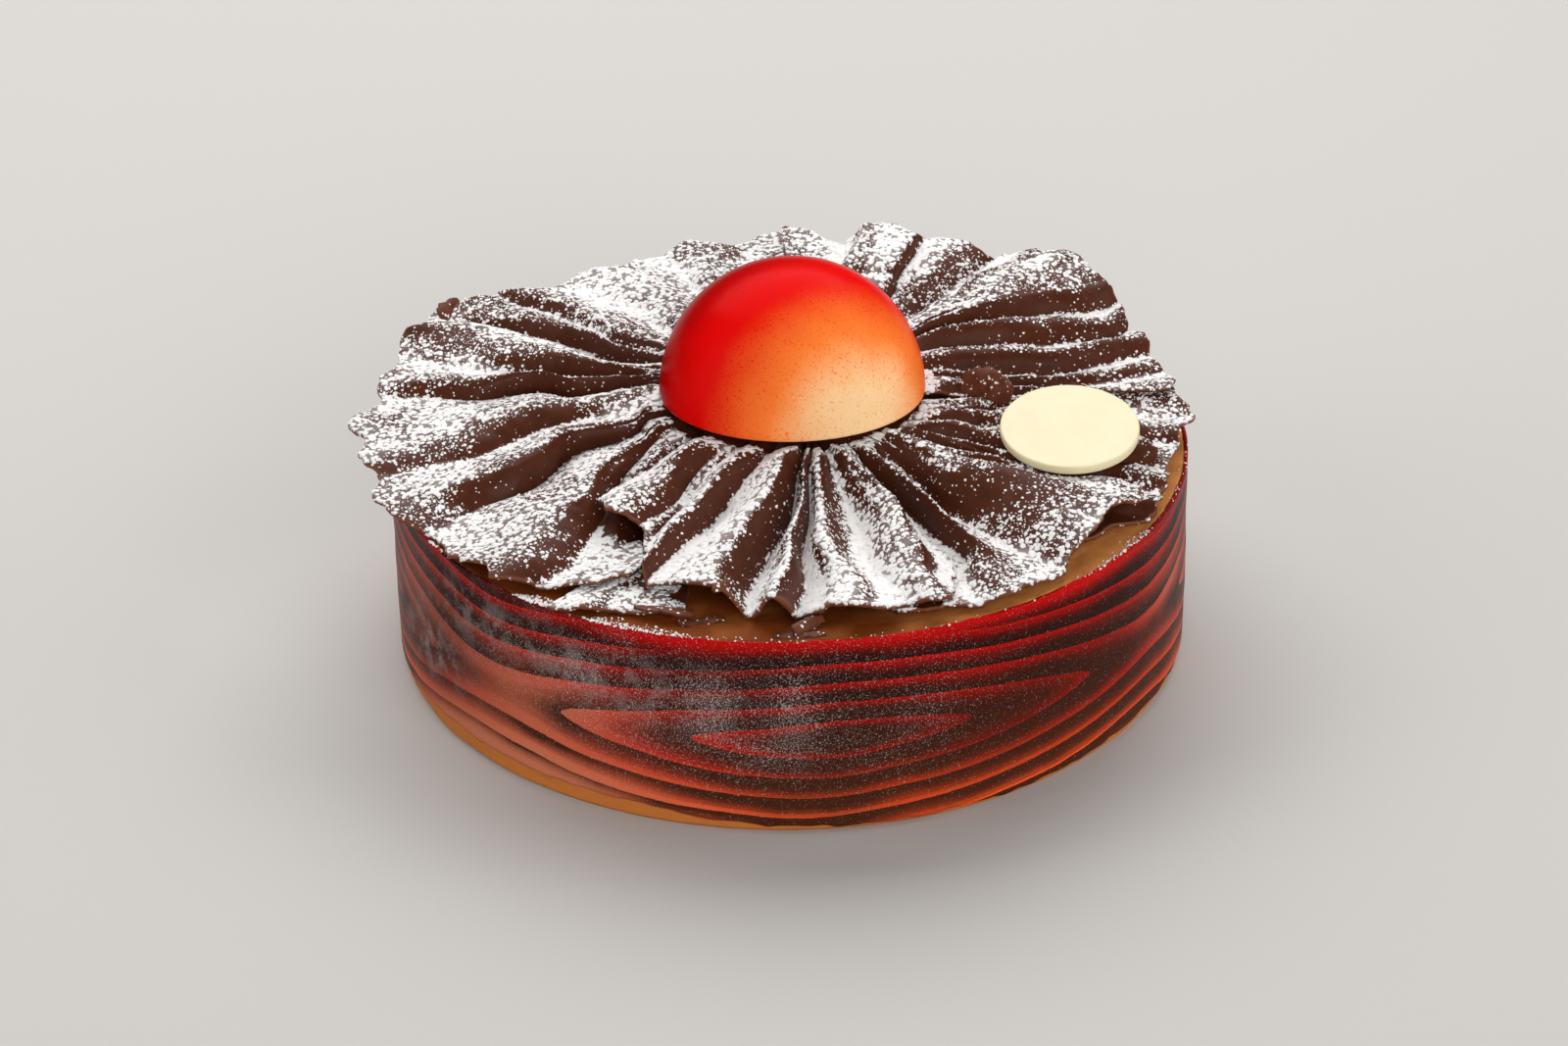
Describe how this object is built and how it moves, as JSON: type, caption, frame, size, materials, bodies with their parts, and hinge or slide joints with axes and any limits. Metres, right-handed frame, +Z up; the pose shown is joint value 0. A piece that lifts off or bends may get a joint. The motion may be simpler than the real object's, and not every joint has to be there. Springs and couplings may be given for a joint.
{
  "type": "chocolate mousse cake",
  "caption": "Round chocolate mousse cake in a thin wood-grain chocolate collar, topped with pleated chocolate fans, a sprayed half ball and a white chocolate disc.",
  "frame": {"origin": "centre of the round base, on the face the cake rests on", "axes": "+Z up along the cake's axis; -Y toward the front shown in the picture, with the disc on the +X side"},
  "size_m": [0.1881, 0.18, 0.0893],
  "materials": {
    "mousse": "matte chocolate mousse",
    "collar": "satin red and dark wood-grain chocolate",
    "ruffle": "satin dark chocolate dusted with icing sugar",
    "dome": "glossy sprayed chocolate, red fading to peach",
    "disc": "satin white chocolate"
  },
  "bodies": {
    "root": {"mousse": "mousse", "collar": "collar", "ruffle_shard": "ruffle", "ruffle_right": "ruffle", "ruffle_front_right": "ruffle", "ruffle_back_left": "ruffle", "ruffle_left": "ruffle", "ruffle_back_right": "ruffle", "ruffle_back": "ruffle", "ruffle_front": "ruffle", "dome": "dome", "disc": "disc"}
  },
  "joints": []
}
